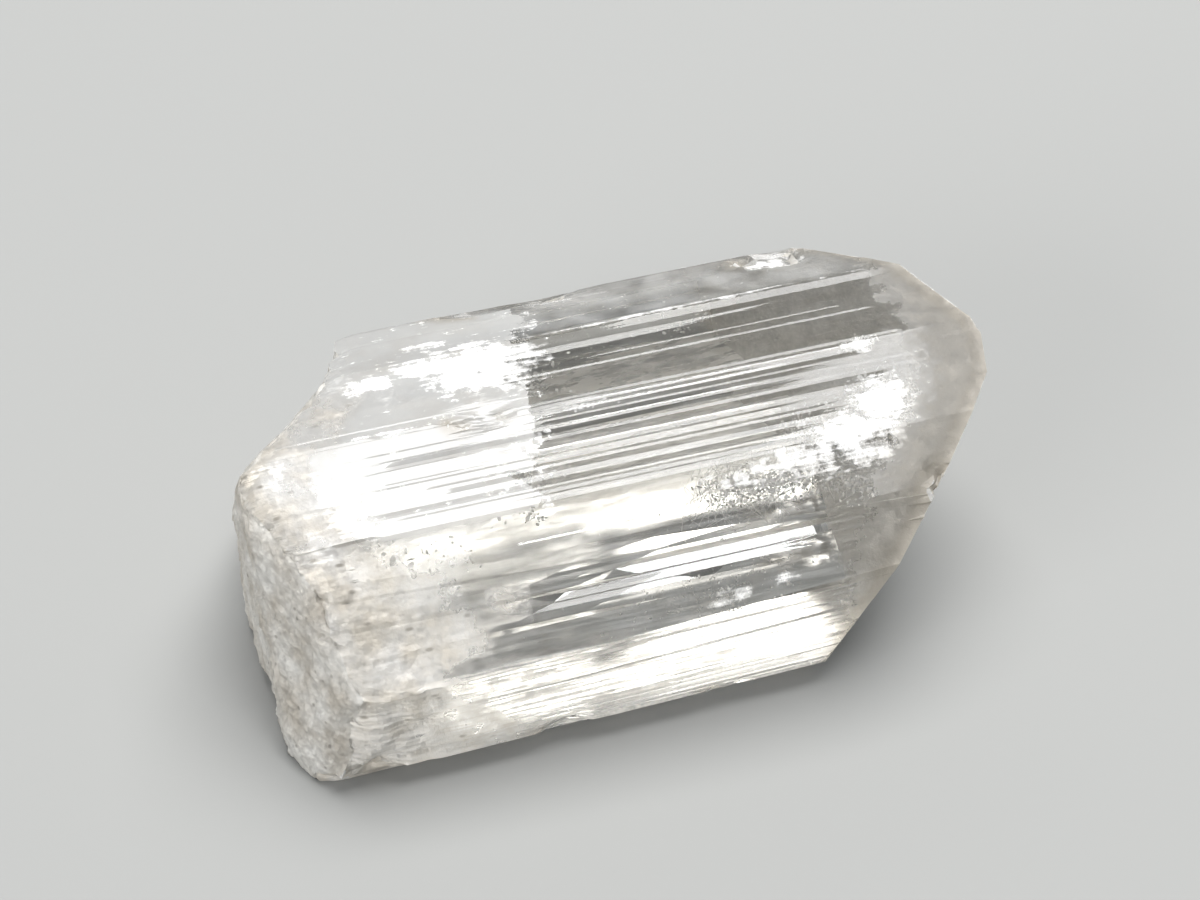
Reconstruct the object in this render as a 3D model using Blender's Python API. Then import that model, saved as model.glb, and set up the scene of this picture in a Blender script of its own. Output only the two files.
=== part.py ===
"""A single danburite crystal, broken off its matrix at one end, lying on a prism face.

Danburite is orthorhombic, so every flat face is found from the cell edges a, b and c.
The crystal's long axis c runs along +X toward the termination, +Y is away from the side
with the wide striated faces, and the crystal rests on its (-1 -1 0) prism face at z = 0.
Sizes are in millimetres and become metres when the mesh is finished.
"""
import math
import random

import bmesh
import bpy
from mathutils import Matrix, Vector, noise

MM = 0.001

# Driving dimensions
CELL_A, CELL_B, CELL_C = 8.04, 8.75, 7.73    # unit cell edges in angstrom: only ratios are used
A_AXIS_TURN = 47.4                           # a axis above -Y, in degrees: puts (1 1 0) on top
CRYSTAL_LENGTH = 27.6         # from the foremost part of the break to the tip
TAPER_AT = 12.0                              # distance from the break where widths are stated

# Prism faces from the underside at the front, up over the top and down the back:
# Miller indices h and k, width, outward taper toward the broken end in degrees,
# number of growth ledges (striations) and their height. The resting face closes the ring.
PRISM_FACES = (
    ((0, -1), 1.5, 1.1, 2, 0.02),
    ((1, -1), 3.55, 1.1, 5, 0.035),
    ((1, 0), 3.3, -0.8, 4, 0.03),
    ((4, 1), 1.9, 0.0, 3, 0.03),
    ((2, 1), 3.65, 0.0, 12, 0.06),
    ((1, 1), 3.5, 0.0, 6, 0.045),
    ((1, 2), 3.3, 0.0, 4, 0.04),
    ((0, 1), 1.5, 0.0, 2, 0.03),
    ((-1, 1), 5.7, 0.0, 7, 0.05),
    ((-1, 0), 1.6, 0.0, 2, 0.03),
)
LEDGE_SEED = 11
RISER_SHARE = 0.16            # part of a ledge's width that its steep side takes
STATIONS = 12                 # cross-sections along the prism, where ledges rise and fade
FADE_LENGTH = 2.5             # distance over which a ledge that stops dies out

# Termination: slope of each face's normal from the c axis, its turn about that axis, measured
# like A_AXIS_TURN, and a point that the face passes through. The two domes meet at the tip.
TIP = (27.7, 5.3, 8.44)
END_FACES = (
    (40.7, -47.6, TIP),                   # dome (0 -1 1)
    (35.3, 233.4, TIP),                   # dome (-1 0 1)
    (36.0, -87.0, (27.52, 5.3, 8.44)),    # narrow face along the edge between the domes
    (14.0, 20.0, (27.32, 5.3, 8.44)),     # worn tip
    (66.6, 131.0, (22.9, 13.45, 7.87)),   # small face on the back corner
    (46.0, -44.0, (19.55, -0.87, 1.16)),  # curved growth on the front dome
)

# Broken end: planes x = start + y_slope * y + z_slope * z that the fracture follows
BREAK_MAIN = (0.12, 0.0, 0.0)
BREAK_FRONT = (0.7, -0.55, 0.3)
BREAK_BACK = (-2.7, 0.33, 0.0)
BREAK_CORNER_LOW = (-13.0, 1.05, 0.72)
BREAK_CORNER_HIGH = (-1.2, 0.42, 0.12)
BREAK_CELL = 0.42             # spacing of the fracture surface's points
BREAK_RELIEF = 0.26           # height of its shell-like waves
BREAK_WAVE = 2.6              # their width
BREAK_GRAIN = 0.09            # height of its fine roughness
BREAK_TERRACE = 0.55          # height of the hackle steps on the corner
BREAK_REACH = 4.0             # how far the cutter reaches past the crystal

# Chips: prism face, place along c, share of the way across the face (0 is its lower edge),
# depth, and radii along c and across
CHIPS = (
    ((4, 1), 24.2, 0.0, 0.22, (0.5, 0.45)),       # notch in the front dome's edge
    ((0, 1), 11.4, 0.0, 0.32, (2.6, 0.9)),        # long bite out of the back edge
    ((1, 2), 21.6, 0.8, 0.2, (1.7, 0.8)),         # shell beside it
    ((1, -1), 2.3, 0.0, 0.24, (1.1, 0.7)),        # nicks along the lower front edge
    ((1, -1), 9.4, 0.0, 0.12, (0.7, 0.4)),
    ((1, -1), 15.9, 0.0, 0.15, (1.1, 0.4)),
    ((1, 1), 8.8, 0.0, 0.12, (1.0, 0.4)),         # nick in the top edge
    ((-1, 1), 12.5, 0.55, 0.3, (1.9, 1.3)),       # shell off the back
)
CHIP_ROUNDNESS = 0.6          # radius into the face as a share of the one across it
CHIP_SUBDIVISIONS = 3
CHIP_GRAIN = 0.2
WELD_DISTANCE = 0.002

CRYSTAL_COLOUR = (0.90, 0.89, 0.86, 1.0)
CRYSTAL_IOR = 1.63
CRYSTAL_ROUGHNESS = 0.12


def clear_scene():
    for item in list(bpy.data.objects):
        bpy.data.objects.remove(item, do_unlink=True)


def around_c(degrees):
    """Unit vector across the c axis: 0 degrees is -Y, 90 degrees is +Z."""
    angle = math.radians(degrees)
    return Vector((0.0, -math.cos(angle), math.sin(angle)))


def face_normal(h, k):
    """Outward normal of the prism face (h k 0)."""
    across = around_c(A_AXIS_TURN) * (h / CELL_A) + around_c(A_AXIS_TURN + 90.0) * (k / CELL_B)
    return across.normalized()


def along_face(normal):
    """Direction in the cross-section that runs up the front, over the top and down the back."""
    return Vector((0.0, normal.z, -normal.y))


def prism_planes():
    """Point, normal and taper of every prism face, walked around the cross-section."""
    corner = Vector((TAPER_AT, 0.0, 0.0))
    planes = []
    for (h, k), width, taper, _, _ in PRISM_FACES:
        normal = face_normal(h, k)
        planes.append((corner.copy(), normal, math.tan(math.radians(taper))))
        corner = corner + along_face(normal) * width
    planes.append((Vector((TAPER_AT, 0.0, 0.0)), Vector((0.0, 0.0, -1.0)), 0.0))
    return planes


def meet(plane_a, plane_b, x):
    """Where two prism faces meet in the cross-section at x."""
    rows = []
    for point, normal, taper in (plane_a, plane_b):
        reach = normal.dot(point) - taper * (x - TAPER_AT)
        rows.append((normal.y, normal.z, reach))
    (ay, az, ar), (by, bz, br) = rows
    size = ay * bz - az * by
    return Vector((x, (ar * bz - az * br) / size, (ay * br - ar * by) / size))


def ledge_plan():
    """For each striated face: where each ledge ends across it, its height and its stretch in x."""
    draw = random.Random(LEDGE_SEED)
    plan = []
    for _, _, _, count, height in PRISM_FACES:
        shares = [draw.uniform(0.4, 1.6) for _ in range(count)]
        ends, total = [], 0.0
        for share in shares:
            total += share
            ends.append(total / sum(shares))
        ledges = []
        for end in ends:
            start_x = draw.choice((-FADE_LENGTH, -FADE_LENGTH, draw.uniform(2.0, 14.0)))
            stop_x = draw.choice((2.0, 2.0, draw.uniform(0.5, 0.9))) * CRYSTAL_LENGTH
            ledges.append((end, height * draw.uniform(0.5, 1.3), start_x, max(stop_x, start_x + 8.0)))
        plan.append(ledges)
    return plan


def ledge_strength(x, start_x, stop_x):
    """1 along a ledge's stretch, falling to 0 beyond its two ends."""
    inside = min(x - start_x, stop_x - x)
    return max(0.0, min(1.0, 0.5 + inside / FADE_LENGTH))


def cross_section(planes, plan, x):
    """Outline of the prism at x, with the small ledges that make its striations."""
    count = len(planes)
    corners = [meet(planes[i - 1], planes[i], x) for i in range(count)]
    outline = []
    for i, ledges in enumerate(plan):
        start, end, normal = corners[i], corners[(i + 1) % count], planes[i][1]
        outline.append(start)
        foot = 0.0
        for place, height, start_x, stop_x in ledges:
            depth = height * ledge_strength(x, start_x, stop_x)
            crest = foot + (place - foot) * RISER_SHARE
            if foot > 0.0:
                outline.append(start.lerp(end, crest))
            if place < 1.0:
                outline.append(start.lerp(end, place) - normal * depth)
            foot = place
    outline.append(corners[-1])
    return outline


def striated_prism():
    """The prism drawn out along c, one cross-section after the other."""
    planes, plan = prism_planes(), ledge_plan()
    reach = CRYSTAL_LENGTH + 2.0 * BREAK_REACH
    places = [i * reach / STATIONS - BREAK_REACH for i in range(STATIONS + 1)]
    body = bmesh.new()
    first = body.faces.new([body.verts.new(p) for p in cross_section(planes, plan, places[0])])
    cap = first
    for x in places[1:]:
        grown = bmesh.ops.extrude_face_region(body, geom=[cap], use_keep_orig=True)
        if cap is not first:
            bmesh.ops.delete(body, geom=[cap], context="FACES_ONLY")
        cap = next(item for item in grown["geom"] if isinstance(item, bmesh.types.BMFace))
        for corner, point in zip(cap.verts, cross_section(planes, plan, x)):
            corner.co = point
    bmesh.ops.recalc_face_normals(body, faces=body.faces)
    bmesh.ops.triangulate(body, faces=body.faces)
    return body


def cut_termination(body):
    """Cut the dome faces that close the grown end."""
    for slope, turn, place in END_FACES:
        angle = math.radians(slope)
        normal = Vector((math.cos(angle), 0.0, 0.0)) + around_c(turn) * math.sin(angle)
        cut = bmesh.ops.bisect_plane(
            body, geom=body.verts[:] + body.edges[:] + body.faces[:], dist=1e-6,
            plane_co=place, plane_no=normal, clear_outer=True)
        rim = [item for item in cut["geom_cut"] if isinstance(item, bmesh.types.BMEdge)]
        bmesh.ops.holes_fill(body, edges=rim)


def plane_x(plane, y, z):
    start, y_slope, z_slope = plane
    return start + y_slope * y + z_slope * z


def fracture_x(y, z):
    """Where the break lies along c, for a place in the cross-section."""
    corner = min(plane_x(BREAK_CORNER_LOW, y, z), plane_x(BREAK_CORNER_HIGH, y, z))
    terrace = math.floor(corner / BREAK_TERRACE) * BREAK_TERRACE
    corner = 0.5 * (corner + terrace)
    walls = [plane_x(plane, y, z) for plane in (BREAK_MAIN, BREAK_FRONT, BREAK_BACK)]
    x = max(*walls, corner)
    place = Vector((0.0, y, z))
    shell = abs(noise.noise(place / BREAK_WAVE)) * 2.0 * BREAK_RELIEF
    grain = noise.fractal(place / BREAK_CELL / 3.0, 1.0, 2.0, 3) * BREAK_GRAIN
    return x + shell + grain


def to_object(name, body):
    mesh = bpy.data.meshes.new(name)
    body.to_mesh(mesh)
    body.free()
    item = bpy.data.objects.new(name, mesh)
    bpy.context.collection.objects.link(item)
    return item


def fracture_cutter():
    """Block that takes away everything on the broken side of the fracture surface."""
    body = bmesh.new()
    lower, upper = (-4.0, -2.0), (17.0, 11.0)
    cells = [round((high - low) / BREAK_CELL) for low, high in zip(lower, upper)]
    place = Matrix.Translation((0.0, (lower[0] + upper[0]) / 2.0, (lower[1] + upper[1]) / 2.0))
    stretch = Matrix.Diagonal((1.0, (upper[0] - lower[0]) / 2.0, (upper[1] - lower[1]) / 2.0, 1.0))
    upright = Matrix.Rotation(math.radians(90.0), 4, "Y") @ Matrix.Rotation(math.radians(90.0), 4, "Z")
    bmesh.ops.create_grid(body, x_segments=cells[0], y_segments=cells[1], size=1.0,
                          matrix=place @ stretch @ upright)
    back = bmesh.ops.extrude_face_region(body, geom=body.faces[:], use_keep_orig=True)
    moved = {item for item in back["geom"] if isinstance(item, bmesh.types.BMVert)}
    for vert in body.verts:
        if vert in moved:
            vert.co.x = -2.0 * BREAK_REACH
        else:
            vert.co.x = fracture_x(vert.co.y, vert.co.z)
    bmesh.ops.triangulate(body, faces=body.faces)
    bmesh.ops.recalc_face_normals(body, faces=body.faces)
    return to_object("fracture cutter", body)


def chip_cutter(planes, number, face, x, share, depth, radii):
    """Rough ball that leaves a shell-shaped chip of the given depth in a face or on its edge."""
    order = [entry[0] for entry in PRISM_FACES]
    i = order.index(face)
    lower, upper = meet(planes[i - 1], planes[i], x), meet(planes[i], planes[i + 1], x)
    normal = planes[i][1] if share > 0.0 else (planes[i - 1][1] + planes[i][1]).normalized()
    height = radii[1] * CHIP_ROUNDNESS
    body = bmesh.new()
    bmesh.ops.create_icosphere(body, subdivisions=CHIP_SUBDIVISIONS, radius=1.0)
    for vert in body.verts:
        vert.co *= 1.0 + CHIP_GRAIN * noise.noise(vert.co * 2.0 + Vector((number, 0.0, 0.0)))
    centre = lower.lerp(upper, share) + normal * (height - depth)
    lean = Matrix.Rotation(math.atan2(-normal.y, normal.z), 4, "X")
    size = Matrix.Diagonal((*radii, height, 1.0))
    bmesh.ops.transform(body, matrix=Matrix.Translation(centre) @ lean @ size, verts=body.verts)
    return to_object(f"chip cutter {number}", body)


def subtract(item, cutters):
    """Take every cutter out of the object, one Boolean after the other."""
    for cutter in cutters:
        cut = item.modifiers.new(cutter.name, "BOOLEAN")
        cut.operation = "DIFFERENCE"
        cut.solver = "EXACT"
        cut.object = cutter
    graph = bpy.context.evaluated_depsgraph_get()
    result = bpy.data.meshes.new_from_object(item.evaluated_get(graph))
    item.modifiers.clear()
    item.data = result
    for cutter in cutters:
        bpy.data.objects.remove(cutter, do_unlink=True)


def set_on_footprint(item):
    """Weld slivers, move the origin under the middle of the crystal and change to metres."""
    body = bmesh.new()
    body.from_mesh(item.data)
    bmesh.ops.remove_doubles(body, verts=body.verts, dist=WELD_DISTANCE)
    bmesh.ops.triangulate(body, faces=body.faces)
    spans = [[vert.co[axis] for vert in body.verts] for axis in range(3)]
    middle = Vector([(min(span) + max(span)) / 2.0 for span in spans[:2]] + [min(spans[2])])
    bmesh.ops.translate(body, vec=-middle, verts=body.verts)
    bmesh.ops.scale(body, vec=(MM, MM, MM), verts=body.verts)
    body.to_mesh(item.data)
    body.free()


def danburite_material():
    material = bpy.data.materials.new("danburite")
    material.use_nodes = True
    shader = material.node_tree.nodes["Principled BSDF"]
    shader.inputs["Base Color"].default_value = CRYSTAL_COLOUR
    shader.inputs["Roughness"].default_value = CRYSTAL_ROUGHNESS
    shader.inputs["Metallic"].default_value = 0.0
    shader.inputs["IOR"].default_value = CRYSTAL_IOR
    shader.inputs["Transmission Weight"].default_value = 1.0
    return material


def main():
    clear_scene()
    body = striated_prism()
    cut_termination(body)
    crystal = to_object("danburite_crystal", body)
    planes = prism_planes()
    chips = [chip_cutter(planes, number, *chip) for number, chip in enumerate(CHIPS)]
    subtract(crystal, [fracture_cutter()] + chips)
    set_on_footprint(crystal)
    crystal.data.materials.clear()
    crystal.data.materials.append(danburite_material())


main()
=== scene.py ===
# %% [markdown]
# # A clear danburite crystal
#
# Danburite is a calcium borosilicate that grows as glassy, colourless prisms. This one was
# snapped off its rock at one end and closes in two slanting dome faces at the other. This
# lesson takes the measured solid of the crystal, cuts the fine growth lines into it, roughens
# what is broken and etched, and gives it an inside: healed cracks, a milky root and a cloud of
# fine fibres. Every length is in millimetres until it is multiplied by MM.

# %% Load the measured solid
import bisect
import math
import random

import bmesh
import bpy
from mathutils import Euler, Matrix, Vector, noise
from mathutils.bvhtree import BVHTree
from mathutils.kdtree import KDTree


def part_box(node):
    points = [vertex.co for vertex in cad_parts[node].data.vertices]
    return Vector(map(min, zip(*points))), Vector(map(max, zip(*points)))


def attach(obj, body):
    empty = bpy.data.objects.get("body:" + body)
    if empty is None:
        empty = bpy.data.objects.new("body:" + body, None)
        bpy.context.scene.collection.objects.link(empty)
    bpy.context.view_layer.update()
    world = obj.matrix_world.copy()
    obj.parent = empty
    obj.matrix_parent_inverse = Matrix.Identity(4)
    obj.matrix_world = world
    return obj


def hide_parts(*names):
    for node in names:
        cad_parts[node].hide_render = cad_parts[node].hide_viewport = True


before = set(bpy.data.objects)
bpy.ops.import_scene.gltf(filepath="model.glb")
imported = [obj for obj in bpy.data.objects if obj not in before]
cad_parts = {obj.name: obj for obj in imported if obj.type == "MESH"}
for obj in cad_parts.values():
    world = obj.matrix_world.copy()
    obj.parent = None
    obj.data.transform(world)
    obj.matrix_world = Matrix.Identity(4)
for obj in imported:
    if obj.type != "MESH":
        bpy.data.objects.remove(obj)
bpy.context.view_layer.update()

MM = 0.001
NODE = "danburite_crystal"
LOW, HIGH = (Vector(corner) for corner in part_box(NODE))
print("crystal box in mm:", [round(side / MM, 2) for side in HIGH - LOW])

# %% [markdown]
# ## Small helpers
#
# Colours are given as sRGB hex values, while Blender's shaders work with linear light,
# so one function converts them. A second function adds any shader node with its settings and
# its links, which keeps each material readable as a list of steps.

# %% Colour and node helpers


def linear(hex_colour):
    """sRGB hex such as '#f0ede6' as linear RGBA."""
    values = [int(hex_colour[i:i + 2], 16) / 255.0 for i in (1, 3, 5)]
    curve = [v / 12.92 if v <= 0.04045 else ((v + 0.055) / 1.055) ** 2.4 for v in values]
    return (*curve, 1.0)


def add(tree, kind, inputs=(), **settings):
    """Add a shader node: settings are its properties; its inputs, named or in order, are
    values, or nodes and sockets to link."""
    node = tree.nodes.new("ShaderNode" + kind)
    for name, value in settings.items():
        setattr(node, name, value)
    for name, value in inputs.items() if isinstance(inputs, dict) else enumerate(inputs):
        if isinstance(value, bpy.types.Node):
            value = value.outputs[0]
        if isinstance(value, bpy.types.NodeSocket):
            tree.links.new(value, node.inputs[name])
        else:
            node.inputs[name].default_value = value
    return node


def new_material(name):
    """A new material with an empty node tree, and the tree itself."""
    material = bpy.data.materials.new(name)
    material.use_nodes = True
    material.node_tree.nodes.clear()
    return material, material.node_tree


print("white as linear light:", [round(v, 3) for v in linear("#f0ede6")])

# %% [markdown]
# ## Camera
#
# The crystal is looked down on at 45 degrees, a little from its broken end. A long lens from
# a hand's width away keeps the growth lines almost parallel, as a close-up lens does.

# %% Camera
VIEW_AZIMUTH, VIEW_ELEVATION = math.radians(-16.7), math.radians(45.0)
VIEW_DISTANCE = 110.0 * MM
VIEW_TARGET = Vector((0.05, 1.58, 4.7)) * MM
SENSOR_WIDTH = 36.0
LENS = 90.66


def look_direction(azimuth, elevation):
    """Unit vector of the line of sight: azimuth 0 looks along +Y."""
    flat = Vector((-math.sin(azimuth), math.cos(azimuth), 0.0)) * math.cos(elevation)
    return flat - Vector((0.0, 0.0, math.sin(elevation)))


sight = look_direction(VIEW_AZIMUTH, VIEW_ELEVATION)
camera_data = bpy.data.cameras.new("camera")
camera_data.lens = LENS
camera_data.sensor_width = SENSOR_WIDTH
camera_data.clip_start = 1.0 * MM
camera = bpy.data.objects.new("camera", camera_data)
camera.location = VIEW_TARGET - sight * VIEW_DISTANCE
camera.rotation_euler = sight.to_track_quat("-Z", "Y").to_euler()
bpy.context.collection.objects.link(camera)
bpy.context.scene.camera = camera
print("camera at mm:", [round(v / MM, 1) for v in camera.location])

# %% [markdown]
# ## Stage and light
#
# A glassy thing shows what is around it. One wide soft light overhead gives the silvery flash
# on the faces that lean toward the viewer, a dim even surround leaves the other faces grey,
# and the floor is plain and pale. The floor lies a hair below the crystal, because a film of
# air under the resting face is what makes that face mirror from the inside.

# %% Floor, lights and surround
AIR_GAP = 0.03 * MM
FLOOR_SIZE = 2.0


def aim_area(name, direction, distance, size, power):
    """A rectangular soft light that looks at the origin, its sides along X and Y."""
    light = bpy.data.lights.new(name, "AREA")
    light.shape = "RECTANGLE"
    light.size, light.size_y = size
    light.energy = power
    lamp = bpy.data.objects.new(name, light)
    toward = Vector(direction).normalized()
    sideways = Vector((0.0, 1.0, 0.0)).cross(toward).normalized()
    turn = Matrix((sideways, toward.cross(sideways), toward)).transposed()
    lamp.matrix_world = Matrix.Translation(toward * distance) @ turn.to_4x4()
    bpy.context.collection.objects.link(lamp)


floor_shape = bmesh.new()
bmesh.ops.create_grid(floor_shape, x_segments=1, y_segments=1, size=FLOOR_SIZE / 2.0)
bmesh.ops.translate(floor_shape, vec=(0.0, 0.0, -AIR_GAP), verts=floor_shape.verts)
floor_mesh = bpy.data.meshes.new("floor")
floor_shape.to_mesh(floor_mesh)
floor_shape.free()
floor = bpy.data.objects.new("floor", floor_mesh)
bpy.context.collection.objects.link(floor)

paper, tree = new_material("matt studio paper")
shader = add(tree, "BsdfPrincipled", {"Base Color": linear("#a0a09e"), "Roughness": 0.9})
add(tree, "OutputMaterial", {"Surface": shader})
floor_mesh.materials.append(paper)

WORLD_STRENGTH = 0.42
SOFTBOX_POWER = 2.2
FILL_POWER = 1.3
STRIP_POWER = 0.25
LAMP_POWER = 0.22
world = bpy.data.worlds.new("dim studio")
bpy.context.scene.world = world
world.use_nodes = True
surround = world.node_tree.nodes["Background"]
surround.inputs["Color"].default_value = linear("#dfe5ea")
surround.inputs["Strength"].default_value = WORLD_STRENGTH

aim_area("softbox overhead", (0.20, 0.25, 0.95), 0.40, (0.32, 0.32), SOFTBOX_POWER)
aim_area("fill from the left", (-0.85, -0.45, 0.35), 0.5, (0.3, 0.3), FILL_POWER)
# The front face shows, by way of the resting face, what stands low behind the crystal
aim_area("strip behind", (0.21, 0.88, 0.42), 0.5, (0.4, 0.09), STRIP_POWER)
# A small bright lamp that only the standing-out ledges of the front slope throw to the viewer
aim_area("small lamp", (0.203, -0.178, 0.963), 0.4, (0.12, 0.035), LAMP_POWER)
bpy.context.scene.view_settings.view_transform = "Standard"

# %% [markdown]
# ## Growth lines
#
# Danburite's prism faces are striated: as the crystal grew, one face kept switching to its
# neighbour and back, which left hundreds of fine straight ledges along the long axis. A
# ledge tilted by a few degrees catches another light than the face it lies on, so the width
# and the tilt of each one decide whether it is a bright or a dark line. They could be a bump
# texture, but a bump bends no outline and no ray inside the glass. So they are real: each
# face is sliced with planes that hold the long axis, and slice lines are pushed in. The
# finest real lines are a few thousandths of a millimetre wide, too fine to see here, so the
# finest drawn are 0.04 mm.

# %% Faces of the prism
A_AXIS_TURN = 47.4
CELL_A, CELL_B = 8.04, 8.75
# Miller indices h and k, then the mean spacing of the fine lines and their depth in mm
PRISM_FACES = {
    "front underside": (0, -1, 0.30, 0.003),
    "front": (1, -1, 0.16, 0.003),
    "front slope": (1, 0, 0.24, 0.003),
    "shoulder": (4, 1, 0.45, 0.001),
    "silver slope": (2, 1, 0.085, 0.010),
    "top": (1, 1, 0.60, 0.001),
    "back slope": (1, 2, 0.22, 0.002),
    "back edge": (0, 1, 0.25, 0.004),
    "back": (-1, 1, 0.30, 0.002),
    "back underside": (-1, 0, 0.30, 0.003),
}
# Ledges that stand out, by face: place around the crystal (measured from the edge between
# the silver slope and the top), width, tilt of the ledge toward the front (+) or the back
# (-) in degrees, and where along the crystal it starts and stops
LEDGES = {
    "front slope": (
        (-7.36, 0.22, -16.0, -4.6, 2.4), (-7.12, 0.32, -16.0, -4.2, 5.4),
        (-6.78, 0.32, -16.0, -1.6, 6.4),
    ),
    "shoulder": (
        (-4.95, 0.07, -3.0, -5.0, -0.5),
    ),
    "silver slope": (
        (-3.56, 0.07, 14.0, -3.5, 7.0), (-3.40, 0.05, 15.0, -4.5, 3.5),
        (-3.20, 0.07, 14.0, -8.8, 6.0), (-2.95, 0.13, 14.0, -9.6, 6.4),
        (-2.57, 0.18, 14.0, -7.0, 7.6), (-2.27, 0.08, 14.0, -7.6, 7.4),
        (-1.95, 0.07, 15.0, -9.4, 7.0), (-1.80, 0.05, 15.0, -9.0, -5.6),
        (-1.70, 0.05, 10.5, -5.0, 6.0), (-1.54, 0.18, 14.0, -3.5, 9.8),
        (-1.29, 0.05, 14.0, -9.6, -4.6), (-1.12, 0.16, 14.0, -8.6, 6.8),
        (-0.94, 0.06, 15.0, -8.8, -3.6), (-0.86, 0.05, 10.5, -2.5, 6.0),
        (-0.78, 0.14, 15.0, -3.0, 8.0), (-0.62, 0.05, 14.0, -9.4, -5.0),
        (-0.54, 0.14, 14.0, -5.5, 9.6), (-0.36, 0.05, 10.5, -2.0, 7.0),
        (-0.26, 0.07, 15.0, -1.5, 5.5), (-0.13, 0.04, 10.5, -1.5, 9.0),
    ),
    "top": (
        (0.03, 0.14, 16.0, -12.0, 10.8), (0.55, 0.06, 15.0, -13.0, -3.5),
        (1.50, 0.08, 17.0, -2.8, 9.6), (1.90, 0.05, 17.0, 0.6, 8.6),
        (2.52, 0.12, 17.0, -2.8, 3.4), (2.68, 0.10, 16.0, -2.8, 5.4),
        (3.12, 0.30, 16.0, 1.5, 11.0),
    ),
}


def around_c(degrees):
    """Unit vector across the long axis: 0 degrees is -Y, 90 degrees is +Z."""
    angle = math.radians(degrees)
    return Vector((0.0, -math.cos(angle), math.sin(angle)))


def face_normal(h, k):
    """Outward normal of the prism face (h k 0)."""
    normal = around_c(A_AXIS_TURN) * (h / CELL_A) + around_c(A_AXIS_TURN + 90.0) * (k / CELL_B)
    return normal.normalized()


def across_face(normal):
    """Unit vector in a prism face, square to the long axis and toward the back over the top."""
    return Vector((0.0, normal.z, -normal.y))


normals = {name: face_normal(h, k) for name, (h, k, _, _) in PRISM_FACES.items()}
for name, normal in normals.items():
    print(f"{name}: faces {math.degrees(math.atan2(normal.z, -normal.y)):.0f} degrees above -Y")

# %% Sort the solid's faces into regions
PRISM_NAMES = list(PRISM_FACES)
BREAK, DOME, BASE = len(PRISM_NAMES), len(PRISM_NAMES) + 1, len(PRISM_NAMES) + 2
END_TILT = 0.30              # share of a face's normal along c beyond which it is no prism face
BASE_TILT = 0.98             # share of it that points down on the resting face
MERGE_DISTANCE = 1e-7        # metres within which points are one


def region_of(face):
    """Index of the prism face that a face belongs to, or BREAK, DOME or BASE."""
    normal = face.normal
    if normal.x < -END_TILT:
        return BREAK
    if normal.x > END_TILT:
        return DOME
    if normal.z < -BASE_TILT:
        return BASE
    return max(range(len(PRISM_NAMES)), key=lambda i: normal.dot(normals[PRISM_NAMES[i]]))


crystal_shape = bmesh.new()
crystal_shape.from_mesh(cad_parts[NODE].data)
bmesh.ops.remove_doubles(crystal_shape, verts=crystal_shape.verts, dist=MERGE_DISTANCE)
crystal_shape.normal_update()
region_layer = crystal_shape.faces.layers.int.new("region")
for face in crystal_shape.faces:
    face[region_layer] = region_of(face)
regions = [face[region_layer] for face in crystal_shape.faces]
print("faces:", len(regions), "break:", regions.count(BREAK), "domes:", regions.count(DOME))

# %% [markdown]
# ## Finding a place under the skin
#
# What lies inside the crystal is placed by two lengths that are easy to measure on its
# outside: how far along it, and how far around it from the edge where the silver slope meets
# the top. Positive goes over the top to the back and negative goes down the front.

# %% Unroll the prism
MIDDLE = 3.0 * MM            # half length of the stretch where the faces are measured


def corner_between(first, second):
    """Where two neighbouring prism faces meet in the cross-section."""
    (a, reach_a), (b, reach_b) = ((normals[name], face_reach[name]) for name in (first, second))
    size = a.y * b.z - a.z * b.y
    return Vector((0.0, (reach_a * b.z - a.z * reach_b) / size,
                   (a.y * reach_b - reach_a * b.y) / size))


face_reach = {}
for index, name in enumerate(PRISM_NAMES):
    face_reach[name] = max(vert.co.dot(normals[name]) for face in crystal_shape.faces
                           if face[region_layer] == index for vert in face.verts
                           if abs(vert.co.x) < MIDDLE)
corners = [corner_between(*pair) for pair in zip(PRISM_NAMES, PRISM_NAMES[1:])]
EDGE = PRISM_NAMES.index("silver slope")
skin_tree = BVHTree.FromBMesh(crystal_shape)


def skin(x, around, depth):
    """Point at x, a distance around the crystal, and a depth under its skin, all in mm."""
    left, step = abs(around) * MM, 1 if around > 0.0 else -1
    at = EDGE
    while True:
        start = corners[at]
        at += step
        if not 0 <= at < len(corners):
            break
        span = (corners[at] - start).length
        if left <= span:
            break
        left -= span
    name = PRISM_NAMES[at if step > 0 else at + 1]
    normal = normals[name]
    across = across_face(normal) * step
    place = start + across * left + Vector((x * MM, 0.0, 0.0))
    hit = skin_tree.ray_cast(place + normal * MM, -normal)
    if hit[0] is not None:
        place = hit[0]
    return place - normal * depth * MM, normal


print("corners of the cross-section in mm:", [[round(c / MM, 2) for c in v.yz] for v in corners])

# %% [markdown]
# The measured solid has its largest ledges already, but as coarse steps whose walls would cut
# the new lines in two. Every point that lies less than LEDGE_LIMIT under one of the flat faces
# is lifted onto it, which leaves the chips, and the faces are sorted again by where they lie.

# %% Measure around the crystal and smooth the measured ledges
FLAT_FACES = ("front slope", "shoulder", "silver slope", "top", "back slope", "back edge", "back")
LEDGE_LIMIT = 0.09           # mm: what is deeper than this is a chip and stays
END_FACE_WIDTH = 9.0         # mm: more than the first and the last face of the list measure
CORNER_SLACK = 0.02          # mm past its corners that still count as on a face

face_low, face_around, face_width = {}, {}, {}
ring = [0.0]
for first, second in zip(corners, corners[1:]):
    ring.append(ring[-1] + (second - first).length / MM)
around_zero = ring[EDGE]
for index, name in enumerate(PRISM_NAMES):
    normal = normals[name]
    start = max(index - 1, 0)
    face_low[index] = corners[start].dot(across_face(normal))
    face_around[index] = ring[start] - around_zero
    face_width[index] = ring[index] - ring[start] if 0 < index < len(corners) else END_FACE_WIDTH


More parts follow.
